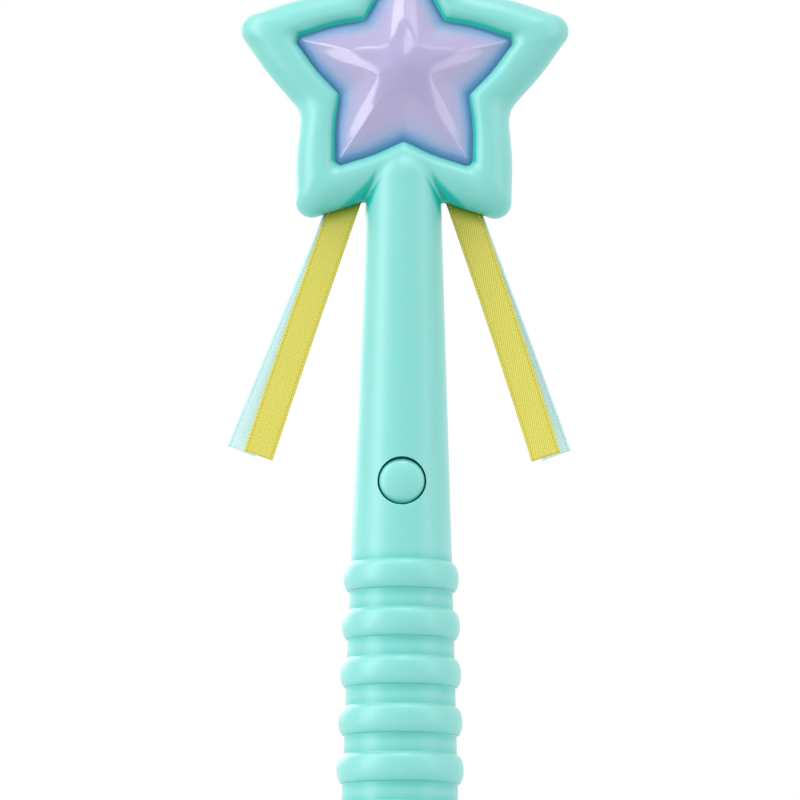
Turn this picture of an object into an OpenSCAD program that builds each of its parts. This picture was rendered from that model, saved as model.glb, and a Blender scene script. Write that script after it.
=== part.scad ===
// Toy magic wand: a puffy star on a tapered handle with a ringed grip, standing on its flat butt.
// Millimetres. Z runs up the wand, the star faces -Y, and the origin is the middle of the butt face.
// The two shells meet at the plane Y = 0.

/* [Handle] */
// Height of the star's centre above the butt
star_z = 233; // [230:0.5:240]
// Outer radius of the handle at the centre of its domed end
dome_r = 10.6; // [10.2:0.1:11.4]
// Height of the centre of the handle's domed end
dome_z = 202.5; // [200:0.5:206]
// Outer radius of the handle just above the rings
grip_top_r = 14.3; // [14.2:0.1:15.4]
// Outer radius between the rings at the butt
butt_r = 17.2; // [16.8:0.1:18.6]
// Rounding of the butt's edge
butt_round = 2.4; // [1.5:0.1:2.6]
// Wall thickness of both shells
wall = 2; // [1.8:0.1:2.1]

/* [Grip rings] */
// Distance from one ring to the next
ring_pitch = 13.6; // [13.5:0.1:14.2]
// How far a ring stands out of the grip
ring_proud = 1.8; // [1.2:0.1:2.4]
// Height of one ring
ring_h = 8.1; // [6.5:0.1:8.6]

/* [Star] */
// Radius of the star's sharp tips, before rounding
star_tip = 53.2; // [51:0.2:56]
// Radius of the star's inner corners
star_valley = 31.7; // [31:0.1:33]
// Rounding of the star's tips
star_tip_round = 4.8; // [4:0.1:6]
// Rounding of the star's inner corners
star_valley_round = 8.6; // [5:0.1:10]
// Depth of the frame's crest in front of and behind the parting plane
star_depth = 8.5; // [8.2:0.1:9.5]
// Drop from the frame's crest to the lens opening
lip_drop = 2.4; // [1.8:0.1:2.6]
// Radius of the lens's sharp tips, before rounding
lens_tip = 35.5; // [34:0.1:36.5]
// Radius of the lens's inner corners
lens_valley = 19.9; // [19:0.1:20.5]
// Depth of the lens's peak in front of the parting plane
lens_crown = 21.6; // [18:0.2:23]
// Outward bow of every star edge
edge_bow = 0.5; // [0:0.1:0.6]

/* [Button] */
// Height of the button
button_z = 114.7; // [113:0.1:116]
// Radius of the button cap
button_r = 6.5; // [6:0.1:6.7]
// How far the cap stands out of the handle
button_proud = 0.75; // [0.4:0.05:1.1]
// Travel of the button
button_travel = 1.2; // [0.8:0.1:1.3]

/* [Ribbons] */
// Width of a ribbon
ribbon_w = 8.6; // [7:0.1:9]
// Thickness of a ribbon
ribbon_t = 0.35; // [0.25:0.05:0.4]
// Length of a ribbon below the star
ribbon_length = 73.6; // [50:0.2:90]
// Lean of the yellow ribbons from upright
yellow_lean = 19; // [17:0.5:21]
// Further lean of the blue ribbons
blue_splay = 3; // [0:0.5:3.5]

/* [Fits] */
// Gap round the button cap
button_gap = 0.35; // [0.3:0.05:0.5]
// Gap round the battery door
door_gap = 0.3; // [0.25:0.05:0.4]
// Gap round the lens in its opening
lens_gap = 0.17; // [0.12:0.01:0.25]
// Play between parts that rest against each other
seat_gap = 0.05; // [0.05:0.01:0.08]

/* [Hidden] */
$fn = 48;
eps = 0.01;

// Colours as the object shows them
mint = "#88dcd5";
lavender = "#b7b2dc";
lemon = "#d9d56b";
ice = "#cbedee";
white_plastic = "#f2f2ee";
board_green = "#2e7d4f";
steel = "#c3c6c8";
silicone = "#8d9499";

// Handle
ring_count = 7;
grip_len = ring_count * ring_pitch;
ring_steps = 8;
round_steps = 5;
dome_steps = 9;
neck_slope = (grip_top_r - dome_r) / (dome_z - grip_len);
grip_slope = (butt_r - grip_top_r) / grip_len;
cavity_floor = 3;

// Star: u runs from the outer outline (0) to the lens (1)
crest_u = 0.7;
opening_u = 1 - lens_gap / (star_tip * sin(34) - lens_tip * sin(30));
flange_u = 0.86;
tray_u = 0.88;
lens_tip_round = 3.2;
lens_valley_round = 1.1;
lens_t = 1.5;
bead_h = 2;
lens_fullness = 0.7;
facet_steps = [1, 0.82, 0.62, 0.42, 0.22, 0.08];
tray_t = 1.1;
tray_floor = 0.9;
lip_h = star_depth - lip_drop;
seat_h = lip_h - 1.5;
flange_t = 1.2;
flange_back = seat_h - seat_gap - flange_t;
panel_inside = lip_h - wall;
tip_steps = 6;
valley_steps = 4;
edge_steps = 4;
crest_steps = 7;
lip_steps = 4;

// Lamps
led_r = 1.5;
led_reach = 4.2;
led_board_front = 2.1;
led_board_t = 1.2;
led_board_r = 9;
led_places = [for (a = [30, 150, 270]) [led_reach * cos(a), star_z + led_reach * sin(a)]];

// Screws
screw_r = 1.1;
screw_seat = 3;
screw_len = 8;
screw_head_r = 2.5;
screw_head_h = 1.8;
boss_r = 2.9;
counterbore_r = screw_head_r + 0.35;
sleeve_r = counterbore_r + 1.1;
star_screw_reach = 40;
neck_screw_z = 176;
waist_screw_z = grip_len - 2.2;
butt_screw_z = 7.6;
screw_places = [
  [0, star_z + star_screw_reach],
  [star_screw_reach * cos(18), star_z + star_screw_reach * sin(18)],
  [-star_screw_reach * cos(18), star_z + star_screw_reach * sin(18)],
  [0, neck_screw_z],
  [0, waist_screw_z],
  [0, butt_screw_z]
];

// Button and control board
button_y = handle_r(button_z);
collar_len = 5.3;
collar_end = collar_len - button_y;
flange_front = collar_end + 0.3;
flange_r = sqrt(pow(button_y - wall, 2) - pow(flange_front, 2)) - 2 * button_gap;
plunger_end = flange_front + 1.65;
dome_room = 3.9;
board_front = plunger_end + dome_room;
board_t = 1.6;
board_middle = board_front + board_t / 2;
board_w = 16.4;
board_bottom = button_z - 14.7;
board_h = 27.5;
post_places = [button_z - 12.2, button_z + 10.3];
board_screw_r = 0.9;
board_screw_bite = 4.5;
board_screw_head_r = 1.9;
board_screw_head_h = 1.3;
chip_w = 6;
chip_h = 1.3;
capacitor_r = 2;
capacitor_h = 3.2;
resistor = [3, 0.8, 1.4];

// Battery bay for two AAA cells
cell_r = 5.2;
cell_len = 43.3;
nub_r = 1.9;
nub_len = 1.2;
cell_x = 5.4;
cell_y = 1;
contact_t = 0.4;
tab_w = 3;
tab_len = 3.6;
tab_y = 2.4;
plate_w = 8.6;
plate_drop = 3.2;
bay_z = 2 * ring_pitch - 0.2;
cell_play = 0.1;
bay_wall = 1.4;
trough_r = 6.7;
trough_floor = cell_y - trough_r;
spring_len = 5;
spring_turns = 4;
spring_wire = 0.35;
spring_base_r = 2.9;
spring_tip_r = 2.1;
spring_sides = 6;
spring_rings = 8;
bay_len = cell_len + nub_len + spring_len + 2 * (contact_t + cell_play);
low_cell_z = bay_z + contact_t + cell_play;
high_cell_z = low_cell_z + spring_len;
tab_top = bay_z + bay_len - contact_t + tab_len;

// Battery door
door_bottom = ring_pitch;
door_top = 6 * ring_pitch;
opening_x = 11.7;
rail_x = 10.8;
rail_depth = 1.6;
door_screw_z = 1.5 * ring_pitch - 0.4;
door_screw_r = 1.3;
door_head_r = 2.7;
door_head_h = 1.8;
door_head_seat = 13.6;
tower_top = 10.4;
tower_r = 3.2;
tongue_x = 5;
tongue_y = 10;

// Ribbons
peg_r = 1.2;
peg_inside = 8;
ribbon_tail = 3;
exit_x = 17.9;
exit_z = star_z - 40.2;
slot_half = 0.7;
slot_w = ribbon_w + 2.4;
ribbon_layer = 0.275;
ribbon_steps = 14;
ribbon_drift = 2;

// Wires
wire_r = 0.55;
wire_sides = 8;
wire_end = 0.8;
wire_clear = sleeve_r + 3 * wire_r;

// Vector and outline helpers
function mix(a, b, t) = a + (b - a) * t;
function polar(r, a) = [r * cos(a), r * sin(a)];
function unit(v) = v / norm(v);

// Radius of the handle without its rings
function handle_r(z) = z < grip_len ? butt_r - grip_slope * z : grip_top_r - neck_slope * (z - grip_len);

// Half angle of a star tip with the given tip and inner-corner radii
function tip_angle(tip, valley) = atan2(valley * sin(36), tip - valley * cos(36));

// Straight star edge from p to q, bowed outward
function bowed_edge(p, q, bow) = [
  for (k = [1:edge_steps - 1])
    let (t = k / edge_steps, d = unit(q - p))
      mix(p, q, t) + bow * 4 * t * (1 - t) * [d[1], -d[0]]
];

// Rounded five-pointed star, anticlockwise from its upper tip
function star_outline(tip, valley, tip_round, valley_round, bow) =
  let (
    half = tip_angle(tip, valley),
    tip_centre = tip - tip_round / sin(half),
    valley_centre = valley + valley_round / sin(half + 36),
    swing = 90 - half
  ) [
    for (arm = [0:4])
      let (
        a = 90 + 72 * arm,
        tip_arc = [
          for (k = [0:tip_steps])
            polar(tip_centre, a) + polar(tip_round, a - swing + 2 * swing * k / tip_steps)
        ],
        valley_arc = [
          for (k = [0:valley_steps])
            polar(valley_centre, a + 36)
              - polar(valley_round, mix(a + swing, a + 72 - swing, k / valley_steps))
        ],
        next_tip = polar(tip_centre, a + 72) + polar(tip_round, a + 72 - swing),
        falling = bowed_edge(tip_arc[tip_steps], valley_arc[0], bow),
        rising = bowed_edge(valley_arc[valley_steps], next_tip, bow)
      )
        each concat(tip_arc, falling, valley_arc, rising)
  ];

// The same star with every edge moved inward by s
function inset_star(tip, valley, tip_round, valley_round, bow, s) =
  let (half = tip_angle(tip, valley))
    star_outline(
      tip - s / sin(half), valley - s / sin(half + 36), max(tip_round - s, 0.4), valley_round + s, bow
    );

function outer_star(s) =
  inset_star(star_tip, star_valley, star_tip_round, star_valley_round, edge_bow, s);
function lens_star(s) =
  inset_star(lens_tip, lens_valley, lens_tip_round, lens_valley_round, edge_bow, s);

// Outline a part u of the way from the frame's outer outline to the lens
function frame_star(u, s) = mix(outer_star(s), lens_star(0), u);

// Depth of point i in a layer whose depth is one number or one for each point
function layer_depth(layer, i) = is_list(layer[1]) ? layer[1][i] : layer[1];

// Stack of outlines [points, depth], closed at both ends and lofted toward the viewer
module star_loft(layers, crown) {
  count = len(layers[0][0]);
  rows = len(layers);
  points = concat(
    [
      for (layer = layers) each [
        for (i = [0:count - 1]) [layer[0][i][0], -layer_depth(layer, i), layer[0][i][1]]
      ]
    ],
    [[0, -layer_depth(layers[0], 0), 0], [0, -crown, 0]]
  );
  sides = [
    for (row = [0:rows - 2]) each [
      for (i = [0:count - 1])
        let (n = (i + 1) % count, low = row * count, high = low + count)
          each [[low + i, high + i, high + n], [low + i, high + n, low + n]]
    ]
  ];
  last = (rows - 1) * count;
  back = [for (i = [0:count - 1]) [rows * count, i, (i + 1) % count]];
  front = [for (i = [0:count - 1]) [rows * count + 1, last + (i + 1) % count, last + i]];
  translate([0, 0, star_z])
    polyhedron(points, concat(sides, back, front), convexity = 6);
}

// Flat star plate between two depths
module star_plate(outline, back, front) {
  translate([0, -back, star_z])
    rotate([90, 0, 0])
      linear_extrude(front - back)
        polygon(outline);
}

// Cylinder lying along Y
module y_rod(r, x, z, y_from, y_to) {
  translate([x, y_to, z])
    rotate([90, 0, 0])
      cylinder(r = r, h = y_to - y_from);
}

// Section swept along a path with flat ends; up is a direction the path never takes
function sweep_frame(path, i, up) =
  let (
    n = len(path) - 1,
    d = unit(path[min(i + 1, n)] - path[max(i - 1, 0)]),
    side = unit(cross(d, up))
  )
    [side, cross(side, d)];

module swept(path, section, up) {
  count = len(section);
  last = len(path) - 1;
  points = [
    for (i = [0:last])
      let (f = sweep_frame(path, i, up)) each [for (s = section) path[i] + s[0] * f[0] + s[1] * f[1]]
  ];
  sides = [
    for (i = [0:last - 1]) each [
      for (k = [0:count - 1])
        let (n = (k + 1) % count)
          each [
            [i * count + k, i * count + count + k, i * count + count + n],
            [i * count + k, i * count + count + n, i * count + n]
          ]
    ]
  ];
  start = [for (k = [0:count - 1]) k];
  end = [for (k = [count - 1:-1:0]) last * count + k];
  polyhedron(points, concat(sides, [start], [end]), convexity = 8);
}

function ring_section(r, sides) = [for (k = [0:sides - 1]) polar(r, -360 * k / sides)];

// Smooth curve through hand-set points
function curve_point(p, i, t) =
  let (
    n = len(p) - 1,
    a = p[max(i - 1, 0)],
    b = p[i],
    c = p[min(i + 1, n)],
    d = p[min(i + 2, n)]
  )
    0.5 * (2 * b + (c - a) * t + (2 * a - 5 * b + 4 * c - d) * t * t + (3 * b - a - 3 * c + d) * t * t * t);
function curve(p, steps) = concat(
  [for (i = [0:len(p) - 2]) each [for (k = [0:steps - 1]) curve_point(p, i, k / steps)]],
  [p[len(p) - 1]]
);

// Handle profile, radius against height, from the butt to the dome
function ring_points(z) = [
  for (k = [0:ring_steps])
    let (a = -90 + 180 * k / ring_steps, h = z + ring_h / 2 * sin(a))
      [handle_r(h) + ring_proud * cos(a), h]
];
function dome_points(r, z) = [
  for (k = [0:dome_steps])
    let (a = 90 * k / dome_steps)
      [r * cos(a), z + r * sin(a)]
];

handle_profile = concat(
  [[0, 0]],
  [
    for (k = [0:round_steps])
      let (a = -90 + 90 * k / round_steps)
        [handle_r(butt_round) - butt_round + butt_round * cos(a), butt_round + butt_round * sin(a)]
  ],
  [for (i = [0:ring_count - 1]) each ring_points((i + 0.5) * ring_pitch)],
  [[grip_top_r, grip_len]],
  dome_points(dome_r, dome_z)
);

// Inside of the handle, a plain taper offset from the outside
function bore_profile(extra) = concat(
  [[0, cavity_floor], [handle_r(cavity_floor) - wall + extra, cavity_floor]],
  [[grip_top_r - wall + extra, grip_len]],
  dome_points(dome_r - wall + extra, dome_z)
);

module handle_body() {
  rotate([0, 0, 180])
    rotate_extrude(angle = 180)
      polygon(handle_profile);
}

module handle_bore(extra) {
  rotate_extrude()
    polygon(bore_profile(extra));
}

// Puffy half of the star, from the parting plane to the lip round the lens
crest_layers = [
  for (k = [0:crest_steps])
    let (a = 90 * k / crest_steps)
      [frame_star(crest_u * (1 - cos(a)), 0), star_depth * sin(a)]
];
lip_layers = [
  for (k = [1:lip_steps])
    let (a = 90 * k / lip_steps)
      [frame_star(mix(crest_u, 1, sin(a)), 0), star_depth - lip_drop * (1 - cos(a))]
];

module star_body() {
  star_loft(concat(crest_layers, lip_layers), lip_h);
}

// Hollow of one half of the star, whose middle ends at the given depth
module star_hollow(middle) {
  inner_depth = star_depth - wall;
  hollow_u = 0.58;
  steps = 4;
  layers = concat(
    [[frame_star(0, wall), -1]],
    [
      for (k = [0:steps])
        let (a = 90 * k / steps)
          [frame_star(hollow_u * (1 - cos(a)), wall), inner_depth * sin(a)]
    ],
    [[frame_star(0.8, wall), middle]]
  );
  star_loft(layers, middle);
}

// Where the ribbons leave the star, and the peg that holds them; side is -1 left, 1 right
function lean_way(side, lean) = [side * sin(lean), 0, -cos(lean)];
function peg_place(side) = [side * exit_x, 0, exit_z] - peg_inside * lean_way(side, yellow_lean);

module ribbon_slot(side) {
  translate(peg_place(side))
    rotate([0, -side * yellow_lean, 0])
      translate([-slot_w / 2, -slot_half, -peg_inside - 10])
        cube([slot_w, 2 * slot_half, peg_inside + ribbon_tail + 11]);
}

// Half wand common to both shells, drawn as the front half
module half_shell(middle) {
  difference() {
    union() {
      star_body();
      handle_body();
    }
    star_hollow(middle);
    handle_bore(0);
    for (side = [-1, 1])
      ribbon_slot(side);
  }
}

// Front shell: frame, lens opening, button collar, board posts, screw bosses and ribbon pegs
module front_shell() {
  pilot_r = screw_r + 0.05;
  pilot_depth = screw_len - screw_seat + 0.3;
  collar_wall = 1.4;
  post_r = 2.4;
  rib_t = 1.6;
  rib_w = 20;
  rib_places = [bay_z + 11, bay_z + 39];
  peg_end = 1.6;
  color(mint)
    difference() {
      union() {
        half_shell(seat_h);
        intersection() {
          union() {
            y_rod(button_r + button_gap + collar_wall, 0, button_z, -button_y, collar_end);
            for (z = post_places)
              y_rod(post_r, 0, z, -handle_r(z), board_front - seat_gap);
            for (z = [neck_screw_z, waist_screw_z, butt_screw_z])
              y_rod(boss_r, 0, z, -handle_r(z), 0);
            for (z = rib_places)
              translate([-rib_w / 2, -handle_r(z), z])
                cube([rib_w, handle_r(z) + trough_floor - 2 * seat_gap, rib_t]);
          }
          handle_bore(wall / 2);
        }
        for (k = [0:2])
          y_rod(boss_r, screw_places[k][0], screw_places[k][1], -star_depth + wall / 2, 0);
        for (side = [-1, 1])
          y_rod(peg_r, peg_place(side)[0], peg_place(side)[2], -star_depth + 1.3 * wall, peg_end);
      }
      star_plate(frame_star(opening_u, 0), seat_h - 1, star_depth + 5);
      y_rod(button_r + button_gap, 0, button_z, -button_y - 5, 0);
      for (p = screw_places)
        y_rod(pilot_r, p[0], p[1], -pilot_depth, 1);
      for (z = post_places)
        y_rod(board_screw_r + 0.05, 0, z, board_front - board_screw_bite - 0.5, board_front);
    }
}

// Rear shell: closed star, screw counterbores, ribbon sockets and the battery opening with its rails
module rear_shell() {
  hole_r = screw_r + 0.25;
  socket_r = 2.5;
  lamp_post_r = 1.4;
  lamp_post_reach = 6.4;
  lamp_post_front = led_board_front + led_board_t + seat_gap;
  rail_w = 2.4;
  rail_front = 1.5;
  rail_back = 13.5;
  opening_front = 4.5;
  color(mint)
    difference() {
      union() {
        mirror([0, 1, 0])
          half_shell(panel_inside);
        intersection() {
          union() {
            for (z = [neck_screw_z, waist_screw_z, butt_screw_z])
              y_rod(sleeve_r, 0, z, 0, handle_r(z));
            difference() {
              for (side = [-1, 1])
                translate([side > 0 ? rail_x : -rail_x - rail_w, rail_front, door_bottom - 1])
                  cube([rail_w, rail_back - rail_front, door_top - door_bottom + 2]);
              handle_bore(-rail_depth);
            }
          }
          handle_bore(wall / 2);
        }
        for (k = [0:2])
          y_rod(sleeve_r, screw_places[k][0], screw_places[k][1], 0, star_depth - wall / 2);
        for (side = [-1, 1])
          y_rod(socket_r, peg_place(side)[0], peg_place(side)[2], 0.8, star_depth - 1.3 * wall);
        for (a = [90, 210, 330])
          y_rod(
            lamp_post_r, lamp_post_reach * cos(a), star_z + lamp_post_reach * sin(a),
            lamp_post_front, lip_h - wall / 2
          );
      }
      difference() {
        translate([-opening_x, opening_front, door_bottom])
          cube([2 * opening_x, 2 * butt_r, door_top - door_bottom]);
        handle_bore(-seat_gap);
      }
      for (p = screw_places) {
        y_rod(hole_r, p[0], p[1], -1, screw_seat + 1);
        y_rod(counterbore_r, p[0], p[1], screw_seat, 2 * butt_r);
      }
      for (side = [-1, 1])
        y_rod(peg_r + 0.3, peg_place(side)[0], peg_place(side)[2], 0, 2.2);
    }
}

// Round-headed screw with a cross recess, its head toward +Y at the given seat
module screw(x, z, seat, r, length, head_r, head_h) {
  recess = 0.35 * head_r;
  difference() {
    union() {
      y_rod(r, x, z, seat - length, seat + eps);
      intersection() {
        y_rod(head_r, x, z, seat, seat + head_h);
        translate([x, seat + head_h - 1.6 * head_r, z])
          sphere(r = 1.6 * head_r);
      }
    }
    for (turn = [0, 90])
      translate([x, seat + head_h, z])
        rotate([0, turn, 0])
          cube([2.4 * recess, head_h, 0.5 * recess], center = true);
  }
}

// Six identical screws that hold the shells together
module housing_screws() {
  color(steel)
    for (p = screw_places)
      screw(p[0], p[1], screw_seat + seat_gap, screw_r, screw_len, screw_head_r, screw_head_h);
}

// Ten facets of the lens from its shoulder to its peak: straight along the arms' ridges, and fuller
// along the lines to the inner corners
function corner_share(p) = abs((atan2(p[0], p[1]) + 396) % 72 - 36) / 36;
function facet_layers(outline, low, high) = [
  for (f = facet_steps)
    [f * outline, [for (p = outline) mix(low, high, 1 - pow(f, 1 + lens_fullness * corner_share(p)))]]
];

// Clear lens: a ten-faceted star with a beaded edge and a flange behind the frame's lip
module star_lens() {
  bead = [
    [0, flange_back],
    [0, lip_h - 0.2 * bead_h],
    [0.3 * bead_h, lip_h + 0.5 * bead_h]
  ];
  shoulder = lip_h + bead_h;
  shoulder_inset = 0.8 * bead_h;
  inner_drop = 1.4 * lens_t;
  color(lavender, 0.8)
    difference() {
      union() {
        star_plate(frame_star(flange_u, 0), flange_back, flange_back + flange_t);
        star_loft(
          concat(
            [for (b = bead) [lens_star(b[0]), b[1]]],
            facet_layers(lens_star(shoulder_inset), shoulder, lens_crown)
          ),
          lens_crown
        );
      }
      star_loft(
        concat(
          [[lens_star(lens_t), flange_back - 1], [lens_star(lens_t), lip_h - lens_t / 2]],
          facet_layers(lens_star(shoulder_inset + lens_t / 4), shoulder - inner_drop, lens_crown - inner_drop)
        ),
        lens_crown - inner_drop
      );
    }
}

// White tray that backs the lens and throws the light forward
module reflector_tray() {
  rim_front = flange_back - seat_gap;
  rim_back = rim_front - tray_t;
  floor_front = -tray_floor;
  floor_back = floor_front - tray_t;
  color(white_plastic)
    difference() {
      union() {
        star_plate(frame_star(tray_u, 0), rim_back, rim_front);
        star_plate(lens_star(tray_t), floor_back, rim_back + eps);
      }
      star_plate(lens_star(2 * tray_t), floor_front, rim_front + 1);
      for (p = led_places)
        y_rod(led_r + 0.3, p[0], p[1], tray_floor - tray_t, tray_floor + 2 * tray_t);
    }
}

// Round board behind the tray
module led_board() {
  color(white_plastic)
    y_rod(led_board_r, 0, star_z, led_board_front, led_board_front + led_board_t);
}

// Three round lamps on the board
module star_leds() {
  color("#f5f2dc")
    for (p = led_places) {
      y_rod(led_r, p[0], p[1], led_board_front - 2, led_board_front - seat_gap);
      translate([p[0], led_board_front - 2, p[1]])
        sphere(r = led_r);
    }
}

// Two wires from the control board up to the lamps
module led_wires() {
  board_top = board_bottom + board_h;
  lamp_foot = star_z - led_board_r - wire_end;
  lamp_y = led_board_front + led_board_t / 2;
  dome_foot = dome_z - dome_r / 2;
  rise = neck_screw_z - board_top;
  color("#c94f4f")
    for (side = [-1, 1])
      swept(
        curve(
          [
            [side * 3 * wire_r, lamp_y, lamp_foot],
            [side * 3 * wire_r, 1.1 * lamp_y, mix(lamp_foot, dome_foot, 0.4)],
            [side * wire_clear / 2, 1.25 * lamp_y, mix(lamp_foot, dome_foot, 0.75)],
            [side * wire_clear, 0.9 * lamp_y, neck_screw_z + 2 * sleeve_r],
            [side * 1.05 * wire_clear, 0.6 * lamp_y, neck_screw_z - 2 * sleeve_r],
            [side * 0.8 * wire_clear, 0.2 * lamp_y, board_top + 0.37 * rise],
            [side * 0.7 * wire_clear, board_middle / 2, board_top + 0.12 * rise],
            [side * 0.7 * wire_clear, board_middle, board_top + wire_end]
          ],
          4
        ),
        ring_section(wire_r, wire_sides),
        [0, 1, 0]
      );
}

// Domed cap with a flange that keeps it in its collar and a plunger on its back
module button_cap() {
  crown_r = 15;
  crown_y = -button_y - button_proud;
  color(mint)
    union() {
      intersection() {
        y_rod(button_r, 0, button_z, crown_y, flange_front + eps);
        translate([0, crown_y + crown_r, button_z])
          sphere(r = crown_r, $fn = 96);
      }
      y_rod(flange_r, 0, button_z, flange_front, flange_front + 1);
      y_rod(2.2, 0, button_z, flange_front + 0.9, plunger_end);
    }
}

// Silicone dome that springs the button back
module button_dome() {
  top = board_front - plunger_end - 0.35;
  roof = button_travel + 1.15;
  foot = 0.8;
  color(silicone)
    translate([0, board_front - seat_gap, button_z])
      rotate([90, 0, 0])
        rotate_extrude()
          polygon([
            [0, roof], [1.9, roof], [4, foot], [4, 0], [5.4, 0], [5.4, foot], [4.7, foot],
            [2.6, top - 0.6], [2.6, top], [0, top]
          ]);
}

// Control board on two posts behind the button
module control_board() {
  color(board_green)
    difference() {
      translate([-board_w / 2, board_front, board_bottom])
        cube([board_w, board_t, board_h]);
      for (z = post_places)
        y_rod(board_screw_r + 0.3, 0, z, board_front - 1, board_front + board_t + 1);
    }
}

// Chip, capacitor and resistors on the back of the control board
module board_components() {
  back = board_front + board_t + seat_gap;
  color("#26282b") {
    translate([-chip_w / 2, back, button_z - 2 * chip_w / 3])
      cube([chip_w, chip_h, chip_w]);
    y_rod(
      capacitor_r, board_w / 2 - 1.7 * capacitor_r, button_z + 2.5 * capacitor_r, back, back + capacitor_h
    );
    for (k = [0:2])
      translate([1.2 - board_w / 2, back, button_z + chip_w / 2 + 1.7 * k * resistor[2]])
        cube(resistor);
  }
}

// Two screws that hold the control board to its posts
module board_screws() {
  back = board_front + board_t + seat_gap;
  color(steel)
    for (z = post_places)
      screw(0, z, back, board_screw_r, board_t + board_screw_bite, board_screw_head_r, board_screw_head_h);
}

// Cradle with two troughs, end walls and the tower for the door screw
module battery_cradle() {
  end_r = 11.5;
  end_x = 10.4;
  end_back = 6.5;
  trough_top = -2;
  tab_slot_w = 3.6;
  tab_slot_t = contact_t + 0.4;
  color(white_plastic)
    difference() {
      union() {
        for (side = [-1, 1])
          translate([side * cell_x, cell_y, bay_z - bay_wall])
            cylinder(r = trough_r, h = bay_len + 2 * bay_wall);
        for (z = [bay_z - bay_wall, bay_z + bay_len])
          intersection() {
            translate([0, 0, z])
              cylinder(r = end_r, h = bay_wall);
            translate([-end_x, trough_floor, z - 1])
              cube([2 * end_x, end_back - trough_floor, bay_wall + 2]);
          }
        y_rod(tower_r, 0, door_screw_z, trough_floor, tower_top);
        translate([-1.5, trough_floor, door_screw_z])
          cube([3, 10, bay_z - door_screw_z - 1]);
      }
      translate([-20, trough_top, bay_z])
        cube([40, 20, bay_len]);
      for (z = [bay_z - bay_wall - 1, bay_z + bay_len - eps])
        for (side = [-1, 1])
          translate([side > 0 ? end_x : -end_x - 20, trough_top, z])
            cube([20, 20, bay_wall + 1 + eps]);
      for (z = [bay_z - bay_wall - 1, bay_z + bay_len - eps])
        translate([-20, end_back, z])
          cube([40, 3, bay_wall + 1 + eps]);
      for (side = [-1, 1])
        translate([side * cell_x, cell_y, bay_z])
          cylinder(r = cell_r + 0.3, h = bay_len);
      for (side = [-1, 1])
        translate([side * cell_x - tab_slot_w / 2, cell_y + tab_y - tab_slot_t / 2, bay_z + bay_len - 1])
          cube([tab_slot_w, tab_slot_t, bay_wall + 2]);
      y_rod(door_screw_r + 0.35, 0, door_screw_z, trough_floor + 4, tower_top + 1);
    }
}

// AAA cell with its nub up or down
module cell(x, z, nub_up) {
  color("#7f9aa8")
    translate([x, cell_y, nub_up ? z : z + nub_len]) {
      cylinder(r = cell_r, h = cell_len);
      translate([0, 0, nub_up ? cell_len - eps : -nub_len])
        cylinder(r = nub_r, h = nub_len + eps);
    }
}

module battery_cell_left() {
  cell(-cell_x, high_cell_z, true);
}

module battery_cell_right() {
  cell(cell_x, low_cell_z, false);
}

// Contact spring, wound from its base at z toward the cell, dir 1 up or -1 down
function spring_path(x, z, dir) = [
  for (k = [0:spring_turns * spring_rings])
    let (
      t = k / (spring_turns * spring_rings),
      r = mix(spring_base_r, spring_tip_r, t),
      a = 360 * k / spring_rings
    )
      [x + r * cos(a), cell_y + r * sin(a), z + dir * t * (spring_len - spring_wire - 0.3)]
];

spring_test = spring_path(0, 0, 1);
spring_gap = min([
  for (i = [0:len(spring_test) - 1 - spring_rings / 2])
    for (j = [i + spring_rings / 2:len(spring_test) - 1])
      norm(spring_test[i] - spring_test[j]) - 2 * spring_wire
]);
echo(least_gap_between_spring_turns = spring_gap);

module contact_spring(x, z, dir) {
  swept(spring_path(x, z, dir), ring_section(spring_wire, spring_sides), [0, 0, 1]);
}

// Contact plate of the given width whose lower edge is a given drop below the cell's middle
module contact_plate(x, z, w, drop) {
  translate([x - w / 2, cell_y - drop, z])
    cube([w, drop + 4.2, contact_t]);
}

// Strip that joins the cells at the bottom, with the left cell's spring
module battery_bridge() {
  color(steel)
    union() {
      for (side = [-1, 1])
        contact_plate(side * cell_x, bay_z, plate_w, plate_drop);
      contact_plate(0, bay_z, 2 * cell_x, 2.6);
      contact_spring(-cell_x, bay_z + contact_t, 1);
    }
}

// Contact at the top with its solder tab through the end wall
module top_contact(side) {
  z = bay_z + bay_len - contact_t;
  contact_plate(side * cell_x, z, plate_w, plate_drop);
  translate([side * cell_x - tab_w / 2, cell_y + tab_y - contact_t / 2, z])
    cube([tab_w, contact_t, tab_len]);
}

module battery_negative_contact() {
  z = bay_z + bay_len - contact_t;
  color(steel)
    union() {
      top_contact(1);
      contact_spring(cell_x, z, -1);
    }
}

module battery_positive_contact() {
  color(steel)
    top_contact(-1);
}

// Two wires from the contacts to the control board
module battery_wires() {
  rise = board_bottom - tab_top;
  color("#3a3d45")
    for (side = [-1, 1])
      swept(
        curve(
          [
            [side * cell_x, cell_y + tab_y, tab_top + wire_end],
            [side * (cell_x + wire_r / 2), cell_y + 3 * wire_r, tab_top + 0.3 * rise],
            [side * cell_x, board_middle / 3, tab_top + 0.64 * rise],
            [side * 8 * wire_r, board_middle, board_bottom - wire_end]
          ],
          4
        ),
        ring_section(wire_r, wire_sides),
        [0, 1, 0]
      );
}

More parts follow.
